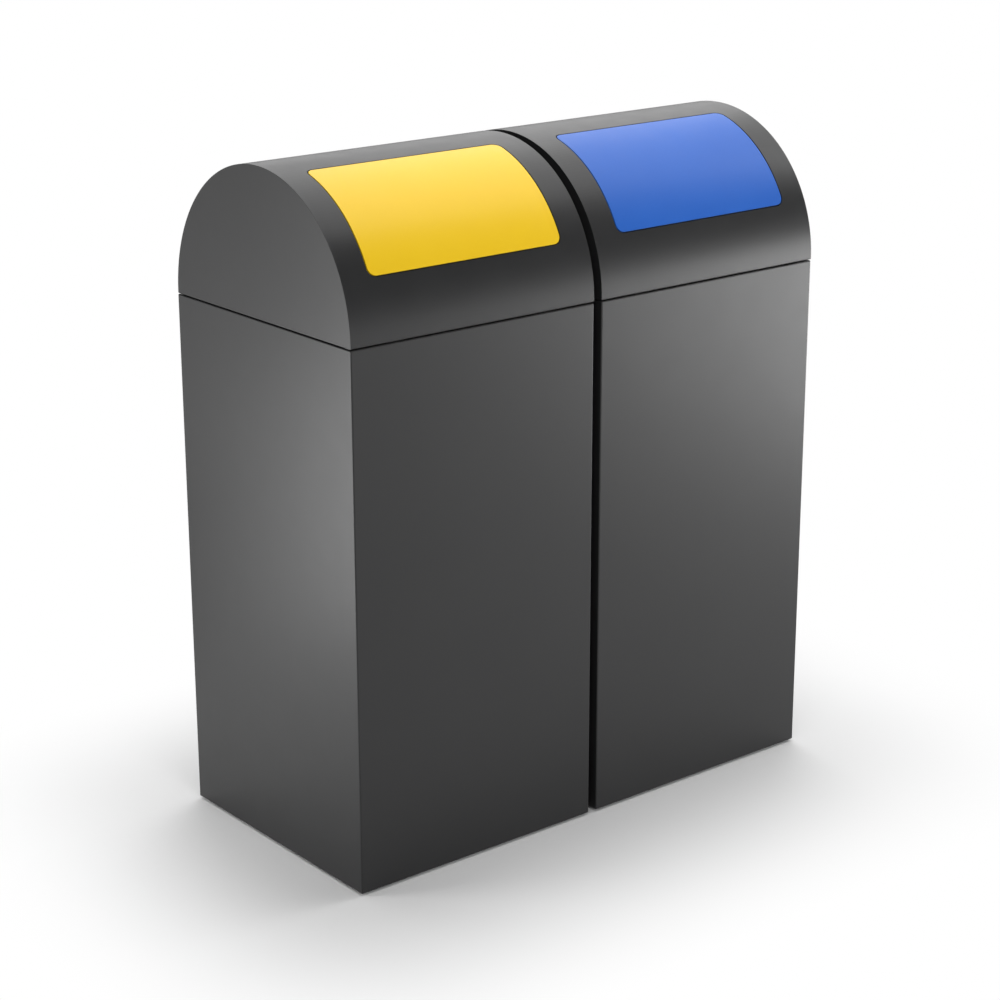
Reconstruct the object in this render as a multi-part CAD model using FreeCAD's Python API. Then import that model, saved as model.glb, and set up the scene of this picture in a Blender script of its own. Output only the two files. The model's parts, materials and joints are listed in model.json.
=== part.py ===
import FreeCAD, Part
import math
import os

# Double recycling bin: two sheet-steel bins fixed side by side. Each has a barrel hood on rear hinges,
# a sprung push flap let flush into the hood's curve, and a lift-out liner with a folding bail.
# Millimetres. X runs along the row, -Y is the front, +Z is up, and the origin is on the floor in the
# middle of the pair. Every bin is built about x = 0 and then moved to its place.

# Cabinet
bin_width = 380.0
bin_depth = 380.0
bin_gap = 13.0
body_top = 712.9
ground_gap = 3.0  # floor to the lower edge of the sheet
sheet = 1.2
bend_radius = 1.8  # outside of a fold
return_flange = 11.5  # folded inwards round the top and the bottom edge, from the outer face
weld_fit = 0.15  # between sheets that lie side by side
pan_depth = 14.0

# Feet, rubber pads under the corners of the floor pan
foot_width = 26.0
foot_bevel = 1.5
foot_margin = 1.5  # to the bottom flange

# Hood
seam_gap = 1.2
hood_straight = 2.4  # upright part of the wall under the half circle
hood_open_angle = 95.0
buffer_width = 6.0
buffer_length = 24.0
buffer_play = 0.3  # left open under the shut hood
buffer_spacing = 240.0

# Hood hinge, in the middle of each bin's back
hinge_length = 150.0
hinge_pin_radius = 2.0
hinge_leaf = 1.5
hinge_leaf_height = 26.0
hinge_standoff = 0.3  # barrel to the bin's back face
pin_fit = 0.05
knuckle_gap = 0.3
pin_overhang = 1.5
stop_reach = 7.0  # stop tongue, from the hinge axis
stop_play = 0.3

# Push flap, set out on the hood's curve: angles are measured up from the front horizontal
flap_low_angle = 23.9
flap_high_angle = 76.2
flap_side_margin = 41.25  # bin side to the edge of the coloured panel
flap_gap = 1.6
flap_corner = 11.0
flap_open_angle = 68.0
plate_sheet = 1.0
plate_overlap = 9.0  # behind the hood skin, at the sides and the bottom
plate_play = 1.5  # left between the shut plate and the skin, so that the coils clear the skin
pivot_setback = 10.0  # opening's upper edge to the pivot axis, along the skin

# Flap pivot
rod_radius = 3.0
rod_end_play = 1.0  # to the hood's cheeks, which keep the rod in
spring_room = 18.0  # from each bracket to the plate's long knuckle
bracket_sheet = 2.0
bracket_clearance = 8.0  # plate's side edge to the bracket
bracket_eye = 8.0  # rod axis to the edge of the ear
bracket_base_width = 14.0
bracket_base_length = 28.0
flap_stop_start = 11.0  # along the plate from the pivot axis
flap_stop_length = 8.0
flap_stop_overlap = 5.0
stop_lug_play = 0.3

# Flap springs
wire_radius = 0.8
wire_sides = 5  # facets round every bent wire
coil_radius = 4.4  # to the middle of the wire
coil_pitch = 3.0
coil_turns = 2
spring_side_gap = 1.5
flap_leg = 30.0
hood_leg = 22.0
leg_play = 0.1

# Liner and its bail
liner_sheet = 0.8
liner_drop = 22.4  # body top to the liner's rim
liner_corner = 30.0
liner_rim_width = 6.0
liner_rim_height = 6.0
liner_play = 0.3  # above the floor pan
liner_margin = 6.5  # bail ends to the body's mouth
bail_radius = 3.0
bail_bend = 6.0
bail_play = 0.3  # bail to the rim it lies on
bail_fit = 0.1
ear_sheet = 2.0
ear_width = 26.0
ear_depth = 34.0
ear_shelf = 3.0  # rim to the ear's shelf
ear_eye = 7.0  # bail axis to the edges of the ear
bail_stub = 2.0  # straight part inside the ear
bail_overhang = 2.0  # past the ear

# The two spacer tubes between the bins
spacer_width = 40.0
spacer_length = 60.0
spacer_wall = 1.5
spacer_heights = (120.0, 620.0)

# Worked out from the sizes above
half_width = bin_width / 2
half_depth = bin_depth / 2
hood_radius = half_depth
hood_bottom = body_top + seam_gap
hood_centre = hood_bottom + hood_straight
hood_bend = min(bend_radius, 0.9 * hood_straight)
skin_inside = hood_radius - sheet
mouth_half_x = half_width - return_flange
mouth_half_y = half_depth - return_flange
panel_half = half_width - flap_side_margin
opening_half = panel_half + flap_gap
plate_half = opening_half + plate_overlap
plate_outside = skin_inside - plate_play
plate_inside = plate_outside - plate_sheet
knuckle_radius = rod_radius + pin_fit + plate_sheet
pivot_radius = plate_outside - knuckle_radius
bracket_x = plate_half + bracket_clearance
knuckle_half = bracket_x - spring_room
hinge_barrel = hinge_pin_radius + pin_fit + hinge_leaf
hinge_y = half_depth + hinge_standoff + hinge_barrel
hinge_z = body_top + seam_gap / 2
pan_floor = ground_gap + 2 * sheet
liner_base = pan_floor + liner_play
liner_top = body_top - liner_drop
bail_z = liner_top + bail_play + bail_radius
bail_reach = liner_rim_width / 2 + bail_bend + bail_stub + ear_sheet + bail_overhang
liner_half_x = mouth_half_x - liner_margin - bail_reach - liner_rim_width / 2
liner_half_y = mouth_half_y - liner_margin - bail_reach - liner_rim_width / 2

along_x = FreeCAD.Vector(1, 0, 0)
along_y = FreeCAD.Vector(0, 1, 0)
along_z = FreeCAD.Vector(0, 0, 1)
tiny = 0.001
past = 5.0  # how far a cutting tool runs beyond what it cuts


def point(x, y, z):
    return FreeCAD.Vector(x, y, z)


def block(x_range, y_range, z_range):
    size = [high - low for low, high in (x_range, y_range, z_range)]
    return Part.makeBox(*size, point(x_range[0], y_range[0], z_range[0]))


def rod(radius, start, direction, length):
    return Part.makeCylinder(radius, length, start, direction)


def bored(radius, hole_radius, start, direction, length):
    return rod(radius, start, direction, length).cut(rod(hole_radius, start, direction, length))


def fuse(shapes):
    return shapes[0].multiFuse(shapes[1:]).removeSplitter()


def mirrored(shape):
    return shape.mirror(point(0, 0, 0), along_x)


def folded_box(low, high, open_side, wraps=False):
    """A tray folded from sheet, open on the side that open_side points out of.

    The folds run round the closed face, and in a wrap along the edges beside it too.
    """
    corners = (low, high)
    rim = max(corner.dot(open_side) for corner in corners)
    solid = block((low.x, high.x), (low.y, high.y), (low.z, high.z))
    folds = []
    for edge in solid.Edges:
        heights = [vertex.Point.dot(open_side) for vertex in edge.Vertexes]
        if max(heights) < rim - tiny or (wraps and min(heights) < rim - tiny):
            folds.append(edge)
    solid = solid.makeFillet(bend_radius, folds)
    wall = point(sheet, sheet, sheet)
    inner_low = low + wall
    inner_high = high - wall
    inner_high += point(*(past * max(part, 0) for part in open_side))
    inner_low -= point(*(past * max(-part, 0) for part in open_side))
    hollow = block((inner_low.x, inner_high.x), (inner_low.y, inner_high.y), (inner_low.z, inner_high.z))
    return solid.cut(hollow)


def rounded_outline(half_x, half_y, corner, height):
    """A rectangle with round corners, centred on the bin and lying at one height."""
    corner = min(corner, half_x - tiny, half_y - tiny)
    edges = []
    centres = [(1, 1), (-1, 1), (-1, -1), (1, -1)]
    ends = []
    for index, (side_x, side_y) in enumerate(centres):
        centre = point(side_x * (half_x - corner), side_y * (half_y - corner), height)
        angles = [math.radians(90 * index + turn) for turn in (0, 45, 90)]
        arc = [centre + point(math.cos(a), math.sin(a), 0) * corner for a in angles]
        edges.append(Part.Arc(*arc).toShape())
        ends.append((arc[0], arc[2]))
    lines = [Part.makeLine(ends[i][1], ends[(i + 1) % 4][0]) for i in range(4)]
    loop = []
    for arc, line in zip(edges, lines):
        loop += [arc, line]
    return Part.Wire(loop)


def on_hood(radius, angle, x=0.0):
    """A point at this distance from the hood's axis, this many degrees up from the front horizontal."""
    turn = math.radians(angle)
    return point(x, -radius * math.cos(turn), hood_centre + radius * math.sin(turn))


def degrees_along(length):
    """The angle that a length laid along the hood's skin takes up."""
    return math.degrees(length / hood_radius)


def curved_slab(inside, outside, low_angle, high_angle, x_range, corner=0.0):
    """A slab bent to the hood's curve, its four corners rounded about radial lines."""
    middle = (low_angle + high_angle) / 2
    outline = Part.Wire(
        [
            Part.Arc(*(on_hood(outside, a) for a in (low_angle, middle, high_angle))).toShape(),
            Part.makeLine(on_hood(outside, high_angle), on_hood(inside, high_angle)),
            Part.Arc(*(on_hood(inside, a) for a in (high_angle, middle, low_angle))).toShape(),
            Part.makeLine(on_hood(inside, low_angle), on_hood(outside, low_angle)),
        ]
    )
    slab = Part.Face(outline).extrude(along_x * (x_range[1] - x_range[0]))
    slab.translate(along_x * x_range[0])
    if corner:
        across = [
            edge
            for edge in slab.Edges
            if isinstance(edge.Curve, Part.Line) and abs(edge.tangentAt(edge.FirstParameter).x) < 0.5
        ]
        slab = slab.makeFillet(corner, across)
    return slab


def barrel(radius, bottom, x_range):
    """The hood's form: a half cylinder on two short upright walls."""
    feet = [point(0, side * radius, bottom) for side in (-1, 1)]
    springing = [point(0, side * radius, hood_centre) for side in (-1, 1)]
    outline = Part.Wire(
        [
            Part.makeLine(feet[0], springing[0]),
            Part.Arc(springing[0], point(0, 0, hood_centre + radius), springing[1]).toShape(),
            Part.makeLine(springing[1], feet[1]),
            Part.makeLine(feet[1], feet[0]),
        ]
    )
    solid = Part.Face(outline).extrude(along_x * (x_range[1] - x_range[0]))
    solid.translate(along_x * x_range[0])
    return solid


# Where things are, as seen from the middle of one bin
pivot_angle = flap_high_angle + degrees_along(flap_gap + pivot_setback)
plate_high_angle = pivot_angle - degrees_along(2 * knuckle_radius)
plate_low_angle = flap_low_angle - degrees_along(flap_gap + plate_overlap)
pivot = on_hood(pivot_radius, pivot_angle)
hinge_axis = point(0, hinge_y, hinge_z)

# The cabinet

def mouth_cutter():
    """Leaves the inward flanges round the top and the bottom of the cabinet."""
    x_range = (-mouth_half_x, mouth_half_x)
    y_range = (-mouth_half_y, mouth_half_y)
    return block(x_range, y_range, (ground_gap - past, body_top + past))


def body_wrap():
    """Front and both sides, folded from one sheet."""
    wrap = folded_box(
        point(-half_width, -half_depth, ground_gap), point(half_width, half_depth, body_top), along_y, True
    )
    back_bay = block(
        (-(half_width - sheet), half_width - sheet),
        (mouth_half_y - weld_fit, half_depth + past),
        (ground_gap - past, body_top + past),
    )
    return wrap.cut([mouth_cutter(), back_bay])


def back_panel():
    """Tray that closes the back between the two sides."""
    half = half_width - sheet - weld_fit
    return folded_box(
        point(-half, mouth_half_y, ground_gap), point(half, half_depth, body_top), along_y * -1
    )


def floor_pan():
    """Tray that stands on the bottom flanges and carries the feet and the liner."""
    half_x = half_width - 2 * sheet - 2 * weld_fit
    half_y = half_depth - sheet - weld_fit
    bottom = ground_gap + sheet
    return folded_box(
        point(-half_x, -half_y, bottom), point(half_x, half_y, bottom + pan_depth), along_z
    )


def bevelled_pad(size, base, bevel):
    """A rubber pad centred on a point of its base, its far face bevelled; a size below zero points down."""
    solid = block(
        (base.x - size.x / 2, base.x + size.x / 2),
        (base.y - size.y / 2, base.y + size.y / 2),
        sorted([base.z, base.z + size.z]),
    )
    far = [edge for edge in solid.Edges if abs(edge.BoundBox.Center.z - base.z) > abs(size.z) - tiny]
    return solid.makeChamfer(bevel, far)


def feet():
    seat = ground_gap + sheet
    reach_x = mouth_half_x - foot_margin - foot_width / 2
    reach_y = mouth_half_y - foot_margin - foot_width / 2
    size = point(foot_width, foot_width, -seat)
    places = [point(x, y, seat) for x in (-reach_x, reach_x) for y in (-reach_y, reach_y)]
    return Part.Compound([bevelled_pad(size, place, foot_bevel) for place in places])


def hood_buffers():
    """Rubber pads on the front flange that the shut hood comes down on."""
    size = point(buffer_length, buffer_width, seam_gap - buffer_play)
    y = -(half_depth - return_flange / 2)
    places = [point(side * buffer_spacing / 2, y, body_top) for side in (-1, 1)]
    return Part.Compound([bevelled_pad(size, place, size.z / 2) for place in places])


# The hood hinge

def hinge_thirds():
    """The x ranges of a hinge's three knuckles."""
    third = hinge_length / 3
    return [(-hinge_length / 2 + n * third, -hinge_length / 2 + (n + 1) * third) for n in range(3)]


def knuckles(thirds):
    """Barrels round the hinge axis, with running clearance between neighbours."""
    inset = knuckle_gap / 2
    return [
        bored(
            hinge_barrel,
            hinge_pin_radius + pin_fit,
            hinge_axis + along_x * (low + inset),
            along_x,
            high - low - 2 * inset,
        )
        for low, high in thirds
    ]


def barrel_clearance(thirds):
    """Room in one leaf for the knuckles of the other."""
    reach = hinge_barrel + 2 * knuckle_gap
    inset = knuckle_gap / 2
    y_range = (half_depth - past, hinge_y + past)
    z_range = (hinge_z - reach, hinge_z + reach)
    return [block((low - inset, high + inset), y_range, z_range) for low, high in thirds]


def pin_hole():
    start = hinge_axis - along_x * hinge_length
    return rod(hinge_pin_radius + pin_fit, start, along_x, 2 * hinge_length)


def hinge_body_leaf():
    """Flat leaf on the cabinet's back, with the two outer knuckles."""
    outer = [hinge_thirds()[0], hinge_thirds()[2]]
    span = (-hinge_length / 2, hinge_length / 2)
    leaf = block(span, (half_depth, half_depth + hinge_leaf), (hinge_z - hinge_leaf_height, hinge_z))
    leaf = leaf.cut(barrel_clearance([hinge_thirds()[1]]))
    return fuse([leaf] + knuckles(outer)).cut(pin_hole())


def hinge_hood_leaf():
    """Curved leaf on the hood's back, with the middle knuckle and the tongue that stops the open hood."""
    middle = hinge_thirds()[1]
    outer = [hinge_thirds()[0], hinge_thirds()[2]]
    span = (-hinge_length / 2, hinge_length / 2)
    shell = barrel(hood_radius + hinge_leaf, hinge_z, span).cut(barrel(hood_radius, hinge_z - past, span))
    band = block(span, (0, hinge_y), (hinge_z, hinge_z + hinge_leaf_height))
    leaf = shell.common(band).cut(barrel_clearance(outer))
    # The tongue is set out where it stops, against the leaf on the cabinet, and then swung back shut.
    face = half_depth + hinge_leaf + stop_play
    tongue = block(
        (middle[0] + knuckle_gap / 2, middle[1] - knuckle_gap / 2),
        (face, face + hinge_leaf),
        (hinge_z - stop_reach, hinge_z),
    )
    tongue.rotate(hinge_axis, along_x, hood_open_angle)
    return fuse([leaf, tongue] + knuckles([middle])).cut(pin_hole())


def hinge_pin():
    length = hinge_length + 2 * pin_overhang
    return rod(hinge_pin_radius, hinge_axis - along_x * (length / 2), along_x, length)


# The hood

def cheek_blank(side):
    x_range = sorted([side * (half_width - sheet), side * half_width])
    return barrel(skin_inside, hood_bottom, x_range)


def hood_wrapper():
    """Curved skin with the flap's opening and a flange folded in along both lower edges."""
    span = (-half_width, half_width)
    solid = barrel(hood_radius, hood_bottom, span)
    lower = [
        edge
        for edge in solid.Edges
        if edge.BoundBox.ZMax < hood_bottom + tiny and edge.BoundBox.YLength < tiny
    ]
    solid = solid.makeFillet(hood_bend, lower)
    solid = solid.cut(barrel(skin_inside, hood_bottom + sheet, (-half_width - past, half_width + past)))
    between = block(
        (-half_width - past, half_width + past),
        (-mouth_half_y, mouth_half_y),
        (hood_bottom - past, hood_centre),
    )
    opening = curved_slab(
        skin_inside - past,
        hood_radius + past,
        flap_low_angle - degrees_along(flap_gap),
        flap_high_angle + degrees_along(flap_gap),
        (-opening_half, opening_half),
        flap_corner + flap_gap,
    )
    return solid.cut([between, opening, cheek_blank(-1), cheek_blank(1)])


def hood_cheek(side):
    """Flat end of the hood, with its own flange folded in along the bottom."""
    plate = cheek_blank(side)
    x_range = sorted([side * mouth_half_x, side * half_width])
    y_half = mouth_half_y - weld_fit
    flange = block(x_range, (-y_half, y_half), (hood_bottom, hood_bottom + sheet))
    cheek = fuse([plate, flange])
    fold = [
        edge
        for edge in cheek.Edges
        if edge.BoundBox.ZMax < hood_bottom + tiny and abs(edge.BoundBox.Center.x) > half_width - tiny
    ]
    return cheek.makeFillet(min(hood_bend, 0.8 * sheet), fold)


# The flap

def flap_panel():
    """Coloured panel: thick sheet rolled to the hood's curve, on the front of the flap's plate."""
    x_range = (-panel_half, panel_half)
    return curved_slab(plate_outside, hood_radius, flap_low_angle, flap_high_angle, x_range, flap_corner)


def flap_plate():
    """Plate behind the hood skin, its upper edge rolled round the rod between the two springs."""
    span = (-plate_half, plate_half)
    corner = flap_corner / 2
    plate = curved_slab(plate_inside, plate_outside, plate_low_angle, plate_high_angle, span, corner)
    rolled = (-knuckle_half, knuckle_half)
    overlap = degrees_along(plate_sheet)
    tab = curved_slab(plate_inside, plate_outside, plate_high_angle - overlap, pivot_angle, rolled)
    knuckle = rod(knuckle_radius, point(-knuckle_half, pivot.y, pivot.z), along_x, 2 * knuckle_half)
    bore = rod(rod_radius + pin_fit, point(-half_width, pivot.y, pivot.z), along_x, bin_width)
    return fuse([plate, tab, knuckle]).cut(bore)


def flap_rod():
    length = 2 * (half_width - sheet - rod_end_play)
    return rod(rod_radius, point(-length / 2, pivot.y, pivot.z), along_x, length)


def flap_bracket():
    """Angle welded inside the skin: a base, which the spring's leg bears on, and an ear for the rod.

    A lug on the ear stops the pushed flap.
    """
    ear = (bracket_x, bracket_x + bracket_sheet)
    ear_low = pivot_angle - degrees_along(bracket_eye)
    base_low = pivot_angle + degrees_along(bracket_eye)
    base_high = base_low + degrees_along(bracket_base_length)
    base_x = (bracket_x - spring_room / 2, bracket_x + bracket_base_width)
    base = curved_slab(skin_inside - bracket_sheet, skin_inside, base_low, base_high, base_x)
    web = curved_slab(pivot_radius - bracket_eye, skin_inside, ear_low, base_high, ear)
    # The lug is set out against the shut flap and then swung to where the flap stops.
    lug_face = plate_inside - stop_lug_play
    lug_low = pivot_angle - degrees_along(flap_stop_start + flap_stop_length)
    lug_high = pivot_angle - degrees_along(flap_stop_start)
    lug_x = (plate_half - flap_stop_overlap, bracket_x + bracket_sheet)
    lug = curved_slab(lug_face - bracket_sheet, lug_face, lug_low, lug_high, lug_x)
    arm = curved_slab(pivot_radius - rod_radius, lug_face, lug_low, pivot_angle, ear)
    for piece in (lug, arm):
        piece.rotate(pivot, along_x, flap_open_angle)
    hole_start = point(bracket_x - past, pivot.y, pivot.z)
    hole = rod(rod_radius + pin_fit, hole_start, along_x, bracket_sheet + 2 * past)
    return fuse([base, web, lug, arm]).cut(hole)


# Torsion springs on the rod. Their shape is set out about the pivot: "down" runs down the hood's slope
# and "out" runs outwards through the skin.

def about_pivot(down, out, x):
    turn = math.radians(pivot_angle)
    slope = point(0, -math.sin(turn), -math.cos(turn))
    outward = point(0, -math.cos(turn), math.sin(turn))
    return point(x, pivot.y, pivot.z) + slope * down + outward * out


def leg_tip(down, surface_radius):
    """Where a leg that ends this far down the slope lies just under a curved sheet."""
    out = math.sqrt(surface_radius**2 - down**2) - pivot_radius - wire_radius - leg_play
    return down, out


def tangent_angle(tip, way):
    """The turn of the coil, in radians, at which a straight leg from its tip meets it."""
    distance = math.hypot(*tip)
    return math.atan2(tip[1], tip[0]) + way * math.acos(coil_radius / distance)


def biarc(start, start_way, end, end_way):
    """Two arcs that join two points with the given directions."""
    chord = end - start
    both = start_way + end_way
    spread = 2 * (1 - start_way.dot(end_way))
    slant = chord.dot(both)
    reach = (math.sqrt(slant**2 + spread * chord.dot(chord)) - slant) / spread
    middle = (start + start_way * reach + end - end_way * reach) * 0.5
    return [arc_from(start, start_way, middle), arc_from(end, end_way * -1, middle, True)]


def arc_from(start, way, end, backwards=False):
    """The arc that leaves start along way and comes to end."""
    chord = end - start
    sideways = chord - way * chord.dot(way)
    sideways.normalize()
    radius = chord.dot(chord) / (2 * chord.dot(sideways))
    centre = start + sideways * radius
    half_way = (start + end) * 0.5 - centre
    half_way.normalize()
    middle = centre + half_way * abs(radius)
    ends = (end, middle, start) if backwards else (start, middle, end)
    return Part.Arc(*ends).toShape()


def flap_spring():
    """One spring: a leg under the hood, the coil round the rod, and a leg behind the plate."""
    hood_tip = leg_tip(-hood_leg, skin_inside - bracket_sheet)
    flap_tip = leg_tip(flap_leg, plate_inside)
    first = tangent_angle(hood_tip, 1)
    last = tangent_angle(flap_tip, -1)
    while last < first + 2 * math.pi * (coil_turns - 0.5):
        last += 2 * math.pi
    flap_x = knuckle_half + spring_side_gap + wire_radius
    hood_x = flap_x + coil_pitch * (last - first) / (2 * math.pi)
    halves = 2 * coil_turns
    lead = coil_pitch / (2 * math.pi * coil_radius)

    def station(step):
        turn = first + (last - first) * step / halves
        x = hood_x + (flap_x - hood_x) * step / halves
        return turn, about_pivot(coil_radius * math.cos(turn), coil_radius * math.sin(turn), x)

    def heading(step):
        turn = station(step)[0]
        slope = 0 if step in (0, halves) else lead
        way = about_pivot(-math.sin(turn), math.cos(turn), 0) - about_pivot(0, 0, slope)
        way.normalize()
        return way

    edges = [Part.makeLine(about_pivot(*hood_tip, hood_x), station(0)[1])]
    for step in range(halves):
        edges += biarc(station(step)[1], heading(step), station(step + 1)[1], heading(step + 1))
    edges.append(Part.makeLine(station(halves)[1], about_pivot(*flap_tip, flap_x)))
    path = Part.Wire(edges)
    report_self_gap(path)
    return wire_along(path, wire_radius, station(0)[1] - about_pivot(*hood_tip, hood_x))


def report_self_gap(path):
    """Prints the least gap between turns, measured on points along the wire."""
    points = path.discretize(Distance=wire_radius / 2)
    step = path.Length / (len(points) - 1)
    apart = int(math.pi * coil_radius / step)
    least = min(
        (points[i] - points[j]).Length
        for i in range(len(points))
        for j in range(i + apart, min(i + 3 * apart, len(points)))
    )
    print(f"spring: {least - 2 * wire_radius:.2f} mm least gap between turns")


def wire_along(path, radius, way):
    """Round wire, as a many-sided bar, swept along the path."""
    start = path.OrderedVertexes[0].Point
    turns = [2 * math.pi * side / wire_sides for side in range(wire_sides + 1)]
    section = Part.makePolygon([point(radius * math.cos(a), radius * math.sin(a), 0) for a in turns])
    section.Placement = FreeCAD.Placement(start, FreeCAD.Rotation(along_z, way))
    return path.makePipeShell([section], True, False)


# The liner

def liner_block(inset, bottom, top):
    outline = rounded_outline(liner_half_x - inset, liner_half_y - inset, liner_corner - inset, bottom)
    return Part.Face(outline).extrude(along_z * (top - bottom))


def liner():
    """Container of thin sheet with a rim turned out round its top."""
    rim = liner_block(-liner_rim_width, liner_top - liner_rim_height, liner_top)
    hollow = liner_block(liner_sheet, liner_base + liner_sheet, liner_top + past)
    return fuse([liner_block(0, liner_base, liner_top), rim]).cut(hollow)


def bail_x():
    """Middle of the bail's side arm, over the liner's rim."""
    return liner_half_x + liner_rim_width / 2


def ear_x():
    return bail_x() + bail_bend + bail_stub


def liner_ear():
    """Cranked strap on the liner's side that passes round the rim and holds the bail's end."""
    shelf = liner_top - liner_rim_height - ear_shelf
    foot = liner_top - ear_depth
    section = [
        (liner_half_x, foot),
        (liner_half_x + ear_sheet, foot),
        (liner_half_x + ear_sheet, shelf - ear_sheet),
        (ear_x() + ear_sheet, shelf - ear_sheet),
        (ear_x() + ear_sheet, bail_z + ear_eye),
        (ear_x(), bail_z + ear_eye),
        (ear_x(), shelf),
        (liner_half_x, shelf),
    ]
    outline = Part.makePolygon([point(x, -ear_width / 2, z) for x, z in section + section[:1]])
    strap = Part.Face(outline).extrude(along_y * ear_width)
    crank_x = (ear_x() - tiny, ear_x() + ear_sheet + past)
    beside_eye = block(crank_x, (ear_eye, ear_width), (shelf + tiny, bail_z + 2 * ear_eye))
    strap = strap.cut([beside_eye, beside_eye.mirror(point(0, 0, 0), along_y)])
    hole = rod(bail_radius + bail_fit, point(ear_x() - past, 0, bail_z), along_x, ear_sheet + 2 * past)
    return strap.cut(hole)


def bail():
    """Round-wire handle lying back on the rim, its ends turned out through the ears."""
    side = bail_x()
    back = liner_half_y + liner_rim_width / 2
    corner = liner_corner + liner_rim_width / 2
    end = ear_x() + ear_sheet + bail_overhang
    diagonal = math.sqrt(0.5)
    z = bail_z
    right = [
        Part.makeLine(point(end, 0, z), point(side + bail_bend, 0, z)),
        Part.Arc(
            point(side + bail_bend, 0, z),
            point(side + bail_bend * (1 - diagonal), bail_bend * (1 - diagonal), z),
            point(side, bail_bend, z),
        ).toShape(),
        Part.makeLine(point(side, bail_bend, z), point(side, back - corner, z)),
        Part.Arc(
            point(side, back - corner, z),
            point(side - corner * (1 - diagonal), back - corner * (1 - diagonal), z),
            point(side - corner, back, z),
        ).toShape(),
    ]
    left = [mirrored(edge) for edge in reversed(right)]
    across = Part.makeLine(point(side - corner, back, z), point(corner - side, back, z))
    path = Part.Wire(Part.__sortEdges__(right + [across] + left))
    return wire_along(path, bail_radius, along_x)


# What joins the bins, set out about the middle of the pair

def spacer_tubes():
    """Two offcuts of flat tube, upright between the bins."""
    tubes = []
    for height in spacer_heights:
        z_range = (height - spacer_length / 2, height + spacer_length / 2)
        half_x = bin_gap / 2
        half_y = spacer_width / 2
        outside = block((-half_x, half_x), (-half_y, half_y), z_range)
        half_x -= spacer_wall
        half_y -= spacer_wall
        tubes.append(outside.cut(block((-half_x, half_x), (-half_y, half_y), z_range)))
    return Part.Compound(tubes)


def both_sides(shape):
    return Part.Compound([shape, mirrored(shape)])


def bin_pieces():
    """Every piece of one bin, about its own middle."""
    return {
        "body_wrap": body_wrap(),
        "back_panel": back_panel(),
        "floor_pan": floor_pan(),
        "feet": feet(),
        "hood_buffers": hood_buffers(),
        "hinge_body_leaf": hinge_body_leaf(),
        "hinge_hood_leaf": hinge_hood_leaf(),
        "hinge_pin": hinge_pin(),
        "hood_wrapper": hood_wrapper(),
        "hood_left_cheek": hood_cheek(-1),
        "hood_right_cheek": hood_cheek(1),
        "flap_panel": flap_panel(),
        "flap_plate": flap_plate(),
        "flap_rod": flap_rod(),
        "flap_brackets": both_sides(flap_bracket()),
        "flap_springs": both_sides(flap_spring()),
        "liner": liner(),
        "liner_ears": both_sides(liner_ear()),
        "bail": bail(),
    }


def write(name, shape):
    shape.exportStep(f"parts/{name}.step")


os.makedirs("parts", exist_ok=True)
for piece_name, piece in bin_pieces().items():
    for bin_name, side in (("left", -1), ("right", 1)):
        placed = piece.copy()
        placed.translate(along_x * (side * (bin_width + bin_gap) / 2))
        write(f"{bin_name}_{piece_name}", placed)
write("spacer_tubes", spacer_tubes())
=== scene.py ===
import json
import math
import bmesh
import bpy
from mathutils import Matrix, Vector


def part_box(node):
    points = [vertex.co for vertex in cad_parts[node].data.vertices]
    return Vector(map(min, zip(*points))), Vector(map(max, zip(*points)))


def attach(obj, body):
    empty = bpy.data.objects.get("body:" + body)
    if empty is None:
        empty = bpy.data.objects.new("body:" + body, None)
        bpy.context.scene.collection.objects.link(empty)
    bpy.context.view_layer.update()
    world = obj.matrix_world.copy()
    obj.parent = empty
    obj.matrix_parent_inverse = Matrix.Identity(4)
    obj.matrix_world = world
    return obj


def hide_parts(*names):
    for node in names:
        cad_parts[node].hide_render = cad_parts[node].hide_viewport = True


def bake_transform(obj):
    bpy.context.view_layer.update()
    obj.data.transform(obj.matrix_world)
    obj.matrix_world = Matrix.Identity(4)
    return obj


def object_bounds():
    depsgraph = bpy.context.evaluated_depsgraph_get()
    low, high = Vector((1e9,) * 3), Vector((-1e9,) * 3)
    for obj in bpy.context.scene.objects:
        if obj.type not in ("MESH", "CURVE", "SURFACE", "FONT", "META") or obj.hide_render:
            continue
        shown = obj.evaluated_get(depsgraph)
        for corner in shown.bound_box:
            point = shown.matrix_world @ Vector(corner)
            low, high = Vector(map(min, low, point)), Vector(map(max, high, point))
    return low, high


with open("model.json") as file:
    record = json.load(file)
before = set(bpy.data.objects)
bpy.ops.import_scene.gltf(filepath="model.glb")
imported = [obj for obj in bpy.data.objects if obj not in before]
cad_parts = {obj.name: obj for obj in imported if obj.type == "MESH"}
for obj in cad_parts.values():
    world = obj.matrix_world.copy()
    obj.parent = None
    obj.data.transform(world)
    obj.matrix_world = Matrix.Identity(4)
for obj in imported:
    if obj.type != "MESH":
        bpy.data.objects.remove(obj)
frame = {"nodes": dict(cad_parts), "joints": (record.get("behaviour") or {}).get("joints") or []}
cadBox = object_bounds()
nodes = frame["nodes"]
joints = {joint["name"]: joint for joint in frame["joints"]}
scene = bpy.context.scene
bins = ("left", "right")
print("frame loaded:", len(nodes), "nodes")


def newObject(name, mesh):
    obj = bpy.data.objects.new(name, mesh)
    scene.collection.objects.link(obj)
    return obj


def meshFrom(name, points, edges=(), faces=()):
    mesh = bpy.data.meshes.new(name)
    mesh.from_pydata([tuple(p) for p in points], list(edges), list(faces))
    mesh.update()
    return mesh


def turnsThrough(start, sweep, steps):
    # evenly spaced angles; start and sweep are in degrees
    return [math.radians(start + sweep * step / steps) for step in range(steps + 1)]


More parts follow.
